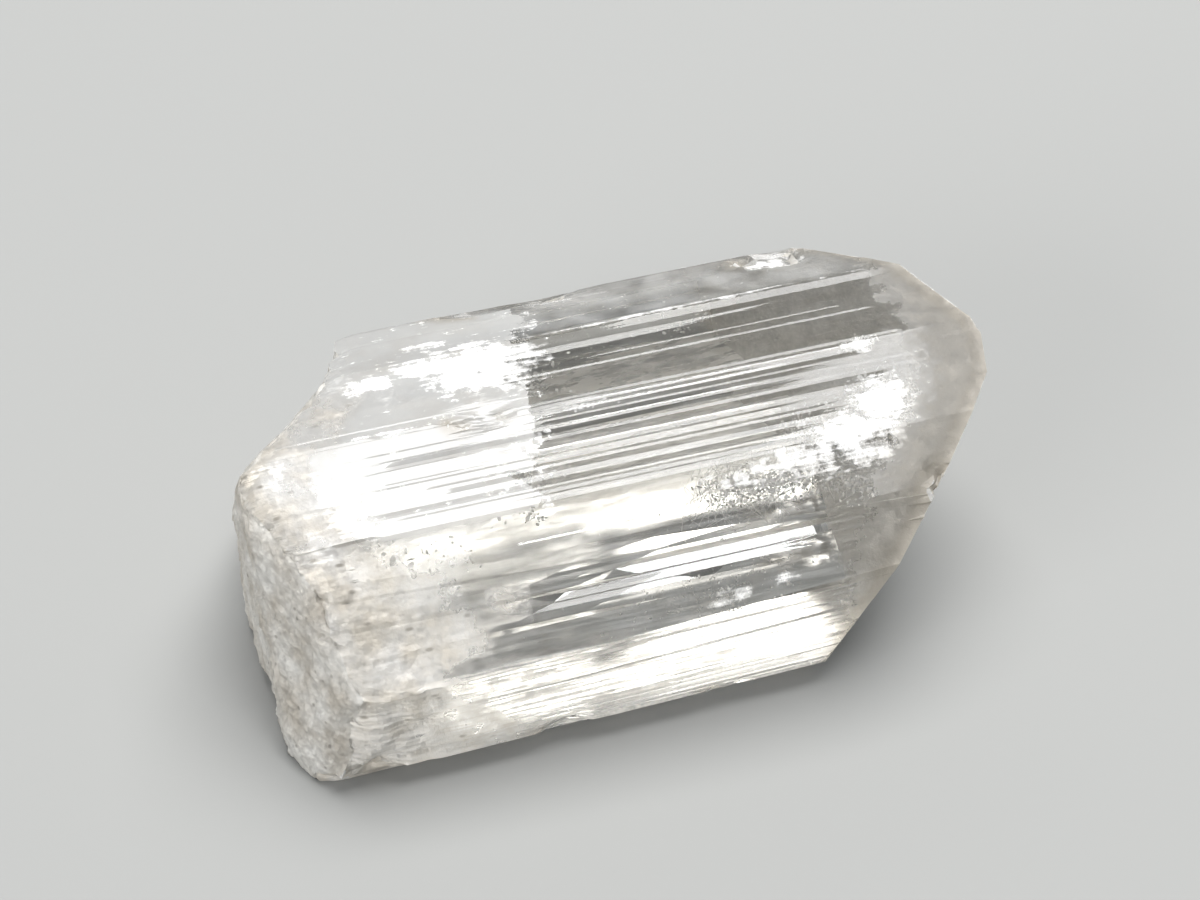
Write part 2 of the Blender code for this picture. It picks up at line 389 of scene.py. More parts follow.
def around_at(index, place):
    """Distance around the crystal of a place on a prism face, in mm."""
    across = across_face(normals[PRISM_NAMES[index]])
    return face_around[index] + (place.dot(across) - face_low[index]) / MM


def lies_on(place, names):
    """Of the named prism faces, the one a place lies on or just under, and how deep in metres."""
    found, least = None, 2.0 * LEDGE_LIMIT * MM
    for name in names:
        index = PRISM_NAMES.index(name)
        at = around_at(index, place) - face_around[index]
        below = face_reach[name] - place.dot(normals[name])
        if -CORNER_SLACK < at < face_width[index] + CORNER_SLACK and abs(below) < least:
            found, least = name, abs(below)
    return found, least


for vert in crystal_shape.verts:
    if BASE in {face[region_layer] for face in vert.link_faces}:
        continue
    name, below = lies_on(vert.co, FLAT_FACES)
    if name is not None and below < LEDGE_LIMIT * MM:
        vert.co += normals[name] * (face_reach[name] - vert.co.dot(normals[name]))
for face in crystal_shape.faces:
    if face[region_layer] < len(PRISM_NAMES):
        name, _ = lies_on(face.calc_center_median(), PRISM_NAMES)
        if name is not None:
            face[region_layer] = PRISM_NAMES.index(name)
print("faces start around the crystal at mm:",
      {name: round(face_around[index], 2) for index, name in enumerate(PRISM_NAMES)})

# %% [markdown]
# Each face gets two sorts of lines: the two edges of every ledge of the list, and fine uneven
# lines between them. Slices across the crystal are added where its points have to move later,
# closely beside the break and at the domes and coarsely in between.

# %% Slice the prism across and along
LINES_START, LINES_END = -10.8, 10.4   # mm: the growth lines keep off both ends
BREAK_SIDE = LOW.x / MM      # where the broken end starts, in mm
COARSE_STEP, FINE_STEP = 1.3, 0.35
ROUGH_ROOT = 7.5             # length beside the break that is sliced finely
TIP_START = 7.0              # where the domes begin to cut the prism
SAME_LINE = 2e-4             # mm within which a point is taken to be on a line
LEDGE_MARGIN = 0.05          # mm beside a ledge that stay free of fine lines
SHORTEST_LINE = 5.0          # mm


def slice_faces(shape, wanted, place, normal):
    """Cut only the faces of the wanted regions with a plane."""
    faces = [face for face in shape.faces if face[region_layer] in wanted]
    edges = {edge for face in faces for edge in face.edges}
    verts = {vert for face in faces for vert in face.verts}
    bmesh.ops.bisect_plane(shape, geom=faces + list(edges) + list(verts), dist=1e-8,
                           plane_co=place, plane_no=normal)


def ledge_lines(name):
    """Inner and outer line of each standing-out ledge of a face, with its depth and stretch."""
    lines = []
    index = PRISM_NAMES.index(name)
    for around, width, tilt, start, stop in LEDGES.get(name, ()):
        low = face_low[index] / MM + around - face_around[index]
        depth = width * math.tan(math.radians(abs(tilt)))
        inner, outer = (low, low + width) if tilt > 0.0 else (low + width, low)
        lines += [(inner, depth, start, stop), (outer, 0.0, start, stop)]
    return sorted(lines)


def fine_lines(low, high, spacing, depth, ledges, full, draw):
    """Uneven growth lines from low to high, none on a ledge: every second one is pushed in."""
    lines, at, number = [], low, 0
    while True:
        at += spacing * draw.choice((0.45, 0.7, 1.0, 1.0, 1.6)) * draw.uniform(0.7, 1.3)
        if at > high:
            return lines
        number += 1
        start = draw.choice((LINES_START, LINES_START, draw.uniform(LINES_START, 6.0)))
        start += draw.uniform(-0.8, 0.8)
        stop = max(draw.choice((full, full, draw.uniform(-4.0, full))), start + SHORTEST_LINE)
        inward = depth * draw.choice((0.4, 0.7, 1.0, 1.4, 2.6)) if number % 2 else 0.0
        if all(abs(at - (one[0] + other[0]) / 2.0) > (other[0] - one[0]) / 2.0 + LEDGE_MARGIN
               for one, other in zip(ledges[::2], ledges[1::2])):
            lines.append((at, inward, start, stop))


LINES_STOP = {"silver slope": 10.6, "shoulder": 9.5, "front slope": 7.0}
draw = random.Random(29)
growth_lines = {}
for index, name in enumerate(PRISM_NAMES):
    across = across_face(normals[name])
    reach = [vert.co.dot(across) / MM for face in crystal_shape.faces
             if face[region_layer] == index for vert in face.verts]
    ledges = ledge_lines(name)
    _, _, spacing, depth = PRISM_FACES[name]
    growth_lines[index] = sorted(ledges + fine_lines(
        min(reach), max(reach), spacing, depth, ledges, LINES_STOP.get(name, LINES_END), draw))
    for line in growth_lines[index]:
        slice_faces(crystal_shape, {index}, across * line[0] * MM, across)
prism_regions = set(range(len(PRISM_NAMES)))
station = BREAK_SIDE
while station < HIGH.x / MM:
    fine = station < BREAK_SIDE + ROUGH_ROOT or station > TIP_START
    station += FINE_STEP if fine else COARSE_STEP
    slice_faces(crystal_shape, prism_regions,
                Vector((station * MM, 0.0, 0.0)), Vector((1.0, 0.0, 0.0)))
print("growth lines:", {PRISM_NAMES[i]: len(lines) for i, lines in growth_lines.items()})
print("faces after slicing:", len(crystal_shape.faces))

# %% [markdown]
# A point on a line is pushed in by that line's depth, and a point between two lines by its
# share of both, so a ledge stays flat from edge to edge wherever other cuts cross it.

# %% Push the lines in
LINE_FADE = 1.6              # mm over which a line that stops dies out


def line_strength(x, start, stop):
    """1 along a line's stretch, falling to 0 beyond its ends."""
    inside = min(x - start, stop - x)
    return max(0.0, min(1.0, 0.5 + inside / LINE_FADE))


def sunk(lines, at, x):
    """How far in a point of a face lies, in mm: between the lines on either side of it."""
    upper = bisect.bisect_left(lines, (at - SAME_LINE,))
    if upper in (0, len(lines)):
        return 0.0
    (low, low_depth, *low_reach), (high, high_depth, *high_reach) = lines[upper - 1:upper + 1]
    share = (at - low) / max(high - low, SAME_LINE)
    return ((1.0 - share) * low_depth * line_strength(x, *low_reach)
            + share * high_depth * line_strength(x, *high_reach))


moved = 0
for vert in crystal_shape.verts:
    touching = {face[region_layer] for face in vert.link_faces}
    index = next(iter(touching))
    if len(touching) > 1 or index not in growth_lines:
        continue
    normal = normals[PRISM_NAMES[index]]
    at = vert.co.dot(across_face(normal)) / MM
    vert.co -= normal * sunk(growth_lines[index], at, vert.co.x / MM) * MM
    moved += 1
print("points between and on growth lines:", moved)

# %% [markdown]
# ## The broken root
#
# The crystal was snapped from its rock. The break is glassy but rough: shell-shaped waves,
# tiny steps and pits, and the faces beside it are bruised and lumpy. The break's faces are
# divided finely and every point is moved by layered noise. Beside the break the same noise
# fades out along the crystal.

# %% Roughen the break and what is beside it
BREAK_CUTS = 2
STEP_SOFTENING = 3                      # passes that round the measured steps of the break
BREAK_WAVE, BREAK_HEIGHT = 0.9, 0.14
LUMP_WAVE, LUMP_HEIGHT = 1.5, 0.16
CRUMB_WAVE, CRUMB_HEIGHT = 0.5, 0.05
BRUISE_LENGTH, BRUISE_FADE = 5.2, 1.6   # how far the bruising goes, and over what it dies out
BRUISE_WANDER, BRUISE_WAVE = 1.3, 1.8   # how far its border wanders, and the width of its waves
BRUISE_HIGH, BRUISE_SLANT = 6.0, 0.9    # above this height it is shorter by so much per mm
BRUISE_ROOT = BREAK_SIDE + 8.5          # up to here the bruised faces are cut finely
BRUISE_FINE, BRUISE_CUTS = 0.35, 3      # edges longer than this are halved, so many times
RIM_WEAR, RIM_WIDTH = 0.55, 1.1         # how much the rim is worn back, and how far in
BACK_RIM_WEAR = 0.5                     # share of it on the back
CORE_AHEAD, CORE_Y, CORE_Z = 2.0, 0.3, 4.3   # wear pulls a point ahead and to here
RIM_SMOOTHING = 2
ON_FLOOR = 1e-6                         # metres off the resting face that still count as on it
FRONT_BRUISED = {PRISM_NAMES.index(name)
                 for name in ("front underside", "front", "front slope", "shoulder")}


def bruise_reach(place):
    """How far along the crystal the bruising goes, in mm: furthest low on the front."""
    wander = BRUISE_WANDER * noise.noise(Vector((place.y, place.z, 0.0)) / (BRUISE_WAVE * MM))
    return BRUISE_LENGTH + wander - BRUISE_SLANT * max(0.0, place.z / MM - BRUISE_HIGH)


def inward_from(place):
    """Unit vector from a place on the skin toward the middle of the crystal, a little ahead."""
    return (Vector((place.x + CORE_AHEAD * MM, CORE_Y * MM, CORE_Z * MM)) - place).normalized()


def region_edges(wanted, least=0.0, until=math.inf):
    """Edges of the wanted regions that have at least a length and start before a place along
    the crystal, both in mm."""
    return list({edge for face in crystal_shape.faces if face[region_layer] in wanted
                 for edge in face.edges if edge.calc_length() >= least * MM
                 and min(vert.co.x for vert in edge.verts) < until * MM})


def halve(edges):
    """Cut edges in two and make triangles again."""
    bmesh.ops.subdivide_edges(crystal_shape, edges=edges, cuts=1)
    bmesh.ops.triangulate(crystal_shape, faces=crystal_shape.faces)


def layered(place, wave, octaves=4):
    """Layered noise between about -1 and 1, with its largest waves the given width in mm."""
    return noise.fractal(place / (wave * MM), 0.9, 2.1, octaves)


def point_tree(points):
    """Search tree of a list of points."""
    found = KDTree(len(points))
    for number, point in enumerate(points):
        found.insert(point, number)
    found.balance()
    return found


bmesh.ops.triangulate(crystal_shape, faces=crystal_shape.faces)
inner = [vert for vert in crystal_shape.verts
         if all(face[region_layer] == BREAK for face in vert.link_faces)]
for _ in range(STEP_SOFTENING):
    bmesh.ops.smooth_vert(crystal_shape, verts=inner, factor=0.5, use_axis_x=True,
                          use_axis_y=False, use_axis_z=False)
bmesh.ops.subdivide_edges(crystal_shape, edges=region_edges({BREAK}), cuts=BREAK_CUTS,
                          use_grid_fill=True)
bmesh.ops.triangulate(crystal_shape, faces=crystal_shape.faces)
for _ in range(BRUISE_CUTS):
    halve(region_edges(FRONT_BRUISED, BRUISE_FINE, BRUISE_ROOT))
crystal_shape.normal_update()
floor_level = LOW.z + ON_FLOOR
rim_tree = point_tree([vert.co.copy() for vert in crystal_shape.verts
                       if any(face[region_layer] == BREAK for face in vert.link_faces)
                       and any(face[region_layer] != BREAK for face in vert.link_faces)])
for vert in crystal_shape.verts:
    touching = {face[region_layer] for face in vert.link_faces}
    from_rim = rim_tree.find(vert.co)[2] / MM
    if touching == {BASE} or DOME in touching:
        continue
    wear = RIM_WEAR * max(0.0, 1.0 - from_rim / RIM_WIDTH) ** 2
    wear *= 0.6 + 0.8 * abs(layered(vert.co, 1.2))
    if not touching & FRONT_BRUISED and vert.co.y > 0.0:
        wear *= BACK_RIM_WEAR
    shift = inward_from(vert.co) * wear
    if BREAK in touching:
        ridge = 1.0 - abs(layered(vert.co, BREAK_WAVE))
        fine = layered(vert.co + Vector((7.0 * MM, 0.0, 0.0)), BREAK_WAVE / 4.0)
        shift.x += (ridge + 0.3 * fine) * BREAK_HEIGHT
    elif touching & FRONT_BRUISED:
        reach = bruise_reach(vert.co)
        fade = max(0.0, min(1.0, (reach - (vert.co.x - LOW.x) / MM) / BRUISE_FADE + 0.5))
        lump = 0.5 - layered(vert.co, LUMP_WAVE, 2)
        crumb = 0.5 - layered(vert.co + Vector((0.0, 3.0 * MM, 0.0)), CRUMB_WAVE, 3)
        height = max(0.0, lump) * LUMP_HEIGHT + max(0.0, crumb) * CRUMB_HEIGHT
        shift -= vert.normal * height * fade
    if vert.co.z <= floor_level:
        shift.z = 0.0
        shift = shift.normalized() * wear
    vert.co += shift * MM
rim = [vert for vert in crystal_shape.verts
       if vert.co.z > floor_level and rim_tree.find(vert.co)[2] < RIM_WIDTH / 2.0 * MM]
for _ in range(RIM_SMOOTHING):
    bmesh.ops.smooth_vert(crystal_shape, verts=rim, factor=0.5, use_axis_x=True,
                          use_axis_y=True, use_axis_z=True)
print("faces after roughening:", len(crystal_shape.faces))

# %% [markdown]
# ## The domes
#
# The two dome faces at the far end are etched. Low rounded hillocks cover them, too small to
# count but enough to make the faces hazy where the rest of the crystal is clear.

# %% Etch the domes
HILLOCK_WAVE, HILLOCK_HEIGHT = 0.8, 0.025
DOME_EDGES = (3.0, 1.5, 0.8, 0.4)   # mm: edges longer than this are halved, in turn
for least in DOME_EDGES:
    halve(region_edges({DOME}, least))
for vert in crystal_shape.verts:
    if all(face[region_layer] == DOME for face in vert.link_faces):
        vert.co -= vert.normal * abs(layered(vert.co, HILLOCK_WAVE)) * HILLOCK_HEIGHT * MM
print("faces after etching:", len(crystal_shape.faces))

# %% [markdown]
# ## One closed piece
#
# Each face keeps a flat shade and takes the material of its region. Two numbers go with every
# point for the materials to read: how far around the crystal it lies, and how close to the
# edge of the domes, where a hard edge rubs against other stones and is scuffed first.

# %% Make the crystal's piece
EDGE_WEAR = 0.8              # mm beside the domes' edges that are scuffed
bmesh.ops.dissolve_degenerate(crystal_shape, edges=crystal_shape.edges, dist=MERGE_DISTANCE)
bmesh.ops.triangulate(crystal_shape, faces=crystal_shape.faces)
# Where cuts meet, a few slivers lie face to face on the same points: both faces go
on_points = {}
for face in crystal_shape.faces:
    on_points.setdefault(frozenset(face.verts), []).append(face)
folded = [face for same in on_points.values() if len(same) > 1 for face in same]
bmesh.ops.delete(crystal_shape, geom=folded, context="FACES")
crystal_mesh = bpy.data.meshes.new("crystal")
for face in crystal_shape.faces:
    face.smooth = False
    face.material_index = {BREAK: 1, DOME: 2, BASE: 3}.get(face[region_layer], 0)
around_layer = crystal_shape.verts.layers.float.new("around")
wear_layer = crystal_shape.verts.layers.float.new("edge_wear")
dome_rim = point_tree([vert.co.copy() for vert in crystal_shape.verts
                       if len({face[region_layer] == DOME for face in vert.link_faces}) > 1])
for vert in crystal_shape.verts:
    vert[wear_layer] = max(0.0, 1.0 - dome_rim.find(vert.co)[2] / (EDGE_WEAR * MM))
    prism = [face[region_layer] for face in vert.link_faces
             if face[region_layer] < len(PRISM_NAMES)]
    vert[around_layer] = around_at(prism[0], vert.co) if prism else 0.0
crystal_shape.to_mesh(crystal_mesh)
skin_tree = BVHTree.FromBMesh(crystal_shape)
open_edges = sum(not edge.is_manifold for edge in crystal_shape.edges)
crystal_shape.free()
crystal = bpy.data.objects.new("crystal", crystal_mesh)
bpy.context.collection.objects.link(crystal)
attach(crystal, "root")
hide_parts(NODE)
print("crystal triangles:", len(crystal_mesh.polygons), "folded:", len(folded),
      "open edges:", open_edges)

# %% [markdown]
# ## Inside the crystal
#
# A clear crystal is white where it is full of tiny cracks. Each little crack is a flake that
# throws light back, so the milky places are built of thousands of small flakes just under
# the skin, and the fibrous cloud near the domes of flakes and fine needles.

# %% Flakes and needles
NEEDLE_LENGTH = 30.0         # in thicknesses
LEAST_DEPTH = 0.12           # mm that every flake lies under the skin


def template(name, segments, radius, tip, depth):
    """Mesh of a small cone or rod that is copied many times."""
    shape = bmesh.new()
    bmesh.ops.create_cone(shape, cap_ends=True, cap_tris=False, segments=segments,
                          radius1=radius, radius2=tip, depth=depth)
    mesh = bpy.data.meshes.new(name)
    shape.to_mesh(mesh)
    shape.free()
    return mesh


flake = template("flake", 5, 1.0, 0.7, 0.25)
needle = template("needle", 3, 1.0, 0.3, NEEDLE_LENGTH)


def buried(place, depth):
    """Whether a place lies inside the crystal, at least so many mm under its skin."""
    nearest, normal, _, distance = skin_tree.find_nearest(place)
    return distance > depth * MM and (place - nearest).dot(normal) < 0.0


def flake_places(draw, blobs, size):
    """Places of flakes in blobs of the unrolled skin: x, around, half sizes, depth, number."""
    places = []
    for x, around, half_x, half_around, depth, number in blobs:
        for _ in range(number):
            spread = Vector((draw.gauss(0.0, 0.5), draw.gauss(0.0, 0.5), 0.0))
            under = LEAST_DEPTH + depth * draw.random() ** 1.6
            at = skin(x + spread.x * half_x, around + spread.y * half_around, under)[0]
            turn = Euler([draw.uniform(0.0, math.tau) for _ in range(3)]).to_matrix().to_4x4()
            scale = size * draw.uniform(0.4, 1.0) * draw.choice((0.5, 0.7, 1.0, 1.3))
            longer = draw.uniform(0.6, 1.6)
            stretch = Matrix.Diagonal((scale * longer, scale, scale, 1.0))
            if buried(at, scale * max(longer, 1.0) + 0.02):
                places.append(Matrix.Translation(at) @ turn @ stretch @ Matrix.Scale(MM, 4))
    return places


def join_copies(name, mesh, places):
    """One object of many copies of a small mesh."""
    shape = bmesh.new()
    for place in places:
        copy = mesh.copy()
        copy.transform(place)
        shape.from_mesh(copy)
        bpy.data.meshes.remove(copy)
    joined = bpy.data.meshes.new(name)
    shape.to_mesh(joined)
    shape.free()
    item = bpy.data.objects.new(name, joined)
    bpy.context.collection.objects.link(item)
    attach(item, "root")
    print(name, "triangles:", sum(len(face.vertices) - 2 for face in joined.polygons))
    return item


# %% Milky root
draw = random.Random(5)
# Blobs of the unrolled skin: x, around, half sizes, depth and number of flakes
ROOT_BLOBS = (
    (-4.3, 2.3, 2.0, 1.5, 0.9, 900),
    (-7.9, 2.6, 1.8, 0.8, 0.8, 350),
    (-10.4, -2.4, 1.4, 1.7, 0.8, 500),
    (-5.0, -2.5, 1.9, 1.1, 0.7, 400),
    (-11.3, -4.4, 1.2, 1.3, 0.6, 220),
    (-9.6, -5.6, 2.2, 1.8, 0.8, 250),
)
root_flakes = join_copies("milky_root", flake, flake_places(draw, ROOT_BLOBS, 0.10))

# %% [markdown]
# One old crack crosses the crystal and has healed. It is a bent sheet of flakes that runs
# nearly square to the long axis, and the milky root lies behind it.

# %% Healed crack
CRACK_FLAKES = 900
SHEET_X, SHEET_SLOPE = -2.95, 0.21   # where the sheet crosses the middle, and its lean per mm of y
CRACK_X, CRACK_SLOPE = -2.9, 0.2     # the same on the skin, per mm around, for the material
crack_places = []
for _ in range(CRACK_FLAKES):
    around = draw.uniform(-4.2, 6.0)
    y = skin(0.0, around, 0.0)[0].y / MM
    bend = 0.6 * noise.noise(Vector((around * 1.3, 0.0, 4.0)))
    x = SHEET_X + SHEET_SLOPE * y - abs(draw.gauss(0.0, 0.3)) + bend
    crack_places += flake_places(draw, ((x, around, 0.05, 0.05, 1.2, 1),), 0.075)
crack_flakes = join_copies("healed_crack", flake, crack_places)

# %% [markdown]
# The cloud near the domes is a feathery inclusion: a dense white heart of flakes that frays
# out into needles a hundredth of a millimetre thick.

# %% Fibrous cloud
CLOUD_BLOBS = (
    (9.5, -2.3, 1.1, 0.9, 0.5, 750),
    (8.4, -3.4, 1.5, 1.1, 0.6, 1000),
    (6.9, -4.2, 1.6, 0.9, 0.6, 800),
    (5.3, -4.6, 1.6, 0.7, 0.6, 450),
    (3.6, -4.5, 1.4, 0.7, 0.6, 260),
    (8.0, -5.3, 1.3, 0.8, 0.6, 200),
    (6.3, -2.6, 1.0, 0.7, 0.5, 160),
    (9.4, 0.0, 0.5, 0.3, 0.4, 160),
)
cloud_flakes = join_copies("cloud", flake, flake_places(draw, CLOUD_BLOBS, 0.085))
FIBRE_STARTS = ((7.8, -3.6), (6.4, -4.4), (4.6, -4.6), (3.0, -4.6), (8.6, -4.6))
FIBRES = 1400
fibre_places = []
for _ in range(FIBRES):
    x, around = draw.choice(FIBRE_STARTS)
    at, normal = skin(x + draw.gauss(0.0, 0.7), around + draw.gauss(0.0, 0.45),
                      0.35 + draw.random() * 0.6)
    along = Vector((draw.gauss(-0.7, 0.8), draw.gauss(-0.6, 0.8), 0.0))
    along = (along - normal * along.dot(normal) + normal * draw.gauss(0.0, 0.25)).normalized()
    turn = along.to_track_quat("Z", "X").to_matrix().to_4x4()
    thick = draw.uniform(0.006, 0.014)
    length = draw.uniform(0.5, 1.3) * MM
    stretch = Matrix.Diagonal((thick * MM, thick * MM, length / NEEDLE_LENGTH, 1.0))
    if all(buried(at + along * end * length / 2.0, 0.02) for end in (-1.0, 1.0)):
        fibre_places.append(Matrix.Translation(at) @ turn @ stretch)
fibres = join_copies("fibres", needle, fibre_places)

# %% Bright specks
SPECK_BLOBS = (
    (4.4, 2.9, 0.35, 0.2, 0.3, 26), (3.4, 2.5, 0.5, 0.25, 0.3, 30), (1.0, 2.1, 0.2, 0.1, 0.2, 8),
    (2.0, 1.7, 0.25, 0.1, 0.2, 12), (-1.6, 0.6, 0.5, 0.15, 0.3, 22), (0.5, 3.0, 6.0, 1.5, 1.5, 90),
    (1.0, 5.4, 5.0, 1.0, 0.8, 90), (2.0, -7.6, 5.0, 1.3, 1.5, 150), (2.2, -8.2, 0.8, 0.4, 0.8, 140),
    (3.0, -5.0, 5.0, 1.0, 1.0, 60), (8.7, -0.2, 0.5, 0.2, 0.3, 60),
    (-12.2, -5.6, 0.6, 2.2, 0.2, 160), (-10.5, -7.4, 2.2, 1.6, 0.3, 120),
    (-7.0, -5.0, 1.5, 1.0, 0.5, 60),
)
specks = join_copies("specks", flake, flake_places(draw, SPECK_BLOBS, 0.06))

# %% [markdown]
# ## The crystal's finish
#
# Danburite bends light more than window glass does: its index of refraction is 1.63. The
# prism faces are clear, the break and the domes scatter light, and toward the root the
# crystal is full of tiny healed cracks that turn it milky.

# %% Places on the skin
DANBURITE_IOR = 1.63
# White places of the skin: x, around, half sizes in mm and strength
WHITE_PLACES = (
    (-4.1, 2.5, 2.3, 1.7, 1.2), (-6.0, 3.0, 1.6, 0.8, 0.95), (-5.6, 4.5, 0.9, 0.6, 1.0),
    (-8.0, 2.7, 1.5, 0.55, 1.0), (-8.2, 0.2, 1.5, 0.3, 0.75), (-6.2, 0.3, 1.0, 0.4, 0.75),
    (-10.2, -2.3, 1.8, 1.7, 0.9), (-5.0, -2.4, 2.6, 1.0, 0.6), (-12.6, -0.4, 1.6, 0.8, 0.8),
    (-11.4, -4.4, 1.3, 1.3, 0.8), (-7.2, -6.0, 0.6, 0.4, 0.55),
    (-12.5, -6.6, 0.9, 1.9, 0.6), (-10.6, -6.6, 1.6, 1.2, 0.45), (-11.6, -9.6, 1.2, 1.0, 0.45),
    (9.3, -2.5, 1.2, 1.0, 1.0), (8.1, -3.6, 1.8, 1.1, 1.0), (6.2, -4.2, 2.2, 0.8, 0.8),
    (4.0, -4.3, 2.4, 0.6, 0.55), (9.2, -0.1, 0.8, 0.35, 0.8),
    (4.5, 3.55, 8.0, 0.14, 0.75), (-1.2, -0.35, 2.5, 0.25, 0.6),
    (8.0, 5.8, 1.3, 0.5, 0.9), (2.3, -8.3, 1.2, 0.35, 0.6), (4.2, -8.0, 0.9, 0.35, 0.6),
)
clear, tree = new_material("clear danburite prism face")
place = add(tree, "VectorMath", {0: add(tree, "TexCoord").outputs["Object"], "Scale": 1.0 / MM},
            operation="SCALE")
along, _, height = add(tree, "SeparateXYZ", (place,)).outputs
around = add(tree, "Attribute", attribute_name="around").outputs["Fac"]
unrolled = add(tree, "CombineXYZ", (along, around))
stretched = add(tree, "VectorMath", (unrolled, (0.3, 7.0, 1.0)), operation="MULTIPLY")
streaks = add(tree, "TexNoise", {"Vector": stretched, "Scale": 1.0, "Detail": 3.0})
grain = add(tree, "TexNoise", {"Vector": place, "Scale": 3.0, "Detail": 5.0, "Roughness": 0.65})
ragged = add(tree, "TexNoise", {"Vector": place, "Scale": 1.6, "Detail": 6.0, "Roughness": 0.7})
blotch = add(tree, "TexNoise", {"Vector": place, "Scale": 0.8, "Detail": 3.0})
shifted = add(tree, "VectorMath", (place, (9.0, 4.0, 2.0)), operation="ADD")
cloudy = add(tree, "TexNoise", {"Vector": shifted, "Scale": 0.55, "Detail": 5.0, "Roughness": 0.6})
print("white places:", len(WHITE_PLACES))

# %% [markdown]
# A place is white where an oval around it says so, but no oval may show: three noises of
# different grain are added before the sum is cut off, so the borders break up into crumbs,
# and the growth lines run through as stripes.

# %% White places and the healed crack
white = 0.0
for x, v, half_x, half_v, strength in WHITE_PLACES:
    offset = add(tree, "VectorMath", (unrolled, (x, v, 0.0)), operation="SUBTRACT")
    scaled = add(tree, "VectorMath", (offset, (1.0 / half_x, 1.0 / half_v, 0.0)),
                 operation="MULTIPLY")
    far = add(tree, "VectorMath", (scaled,), operation="LENGTH").outputs["Value"]
    oval = add(tree, "MapRange", (far, 0.3, 1.5, strength, 0.0))
    white = add(tree, "Math", (white, oval), operation="MAXIMUM")

wander = 0.0
for texture, swing in ((ragged, 0.9), (blotch, 0.7), (grain, 0.4)):
    part = add(tree, "MapRange", (texture, 0.25, 0.75, -swing, swing))
    wander = add(tree, "Math", (wander, part), operation="ADD")
crack = add(tree, "Math", (around, CRACK_SLOPE, CRACK_X), operation="MULTIPLY_ADD")
crack = add(tree, "Math", (crack, wander), operation="ADD")
behind = add(tree, "Math", (crack, along), operation="SUBTRACT")
above_front = add(tree, "MapRange", (around, -4.6, -3.6, 0.0, 1.0))
before_back = add(tree, "MapRange", (around, 6.6, 7.6, 1.0, 0.0))
over_top = add(tree, "Math", (above_front, before_back), operation="MULTIPLY")
crack_milk = add(tree, "MapRange", (behind, 0.0, 0.12, 0.0, 0.36))
to_rim = add(tree, "Math", (behind, 0.15), operation="SUBTRACT")
to_rim = add(tree, "Math", (to_rim,), operation="ABSOLUTE")
crack_rim = add(tree, "MapRange", (to_rim, 0.28, 0.05, 0.0, 0.6))
crack_milk, crack_rim = (add(tree, "Math", (part, over_top), operation="MULTIPLY")
                         for part in (crack_milk, crack_rim))
for part in (crack_milk, crack_rim):
    white = add(tree, "Math", (white, part), operation="MAXIMUM")
broken_up = 0.0
for texture, swing in ((ragged, 1.1), (streaks, 0.55), (grain, 0.35)):
    part = add(tree, "MapRange", (texture, 0.0, 1.0, -swing, swing))
    broken_up = add(tree, "Math", (broken_up, part), operation="ADD")
near_white = add(tree, "MapRange", (white, 0.0, 0.4, 0.0, 1.0))
white = add(tree, "Math", (broken_up, near_white, white), operation="MULTIPLY_ADD")
white = add(tree, "MapRange", (white, 0.38, 1.0, 0.0, 0.95))

# %% [markdown]
# The rest is haze, which is less transmission and more roughness. The root is frosted and
# pitted up to a cloudy border. The tip is hazy and faintly brown where it was handled. The
# faces themselves carry thin veils, and the front face is streaked by fine growth lines.

# %% Frosted root, hazy tip and faint veils
root_edge = add(tree, "MapRange", (height, 6.3, 8.4, -6.4, -10.6))
root_shift = add(tree, "MapRange", (cloudy, 0.3, 0.7, -2.6, 2.6))
root_edge = add(tree, "Math", (root_edge, root_shift), operation="ADD")
root_edge = add(tree, "Math", (root_edge, along), operation="SUBTRACT")
root = add(tree, "MapRange", (root_edge, -2.2, 2.4, 0.0, 1.0), interpolation_type="SMOOTHSTEP")
pit_place = add(tree, "VectorMath", (unrolled, (0.8, 1.7, 1.0)), operation="MULTIPLY")
pits = add(tree, "TexVoronoi", {"Vector": pit_place, "Scale": 1.1})
pits = add(tree, "MapRange", (pits, 0.07, 0.17, 0.8, 0.0))
pits = add(tree, "Math", (pits, root), operation="MULTIPLY")

tip_edge = add(tree, "MapRange", (around, -8.0, -2.0, 6.0, 10.4))
tip_shift = add(tree, "Math", (wander, 0.5, along), operation="MULTIPLY_ADD")
tip = add(tree, "Math", (tip_shift, tip_edge), operation="SUBTRACT")
tip = add(tree, "MapRange", (tip, -0.3, 1.6, 0.0, 1.0))
scuffed = add(tree, "Attribute", attribute_name="edge_wear").outputs["Fac"]
scuffed = add(tree, "Math", (scuffed, 1.5), operation="POWER")
front_face = add(tree, "MapRange", (around, -8.95, -8.75, 1.0, 0.0))

# Each haze: where it lies, then the parts that it is the product of. A part is a noise or a
# place, the range of it that counts, and what the ends of that range become
HAZES = {
    "root": (root, (grain, 0.3, 0.7, 0.45, 0.75), (streaks, 0.3, 0.7, 0.8, 1.15),
             (ragged, 0.3, 0.7, 0.65, 1.25)),
    "tip": (tip, (ragged, 0.35, 0.65, 0.0, 0.22)),
    "scuffs": (scuffed, (grain, 0.3, 0.7, 0.15, 0.5)),
    "veil": (before_back, (around, 3.3, 3.9, 0.0, 1.0), (blotch, 0.3, 0.7, 0.06, 0.28)),
    "faint lines": (1.0, (streaks, 0.45, 0.8, 0.03, 0.2), (around, -0.1, 0.1, 1.0, 0.35)),
    "front": (front_face, (streaks, 0.4, 0.58, 0.05, 1.1), (along, -5.0, 6.0, 0.9, 0.3),
              (ragged, 0.3, 0.7, 0.4, 1.5)),
}
haze = add(tree, "Math", (white, crack_milk), operation="MAXIMUM")
hazes = {}
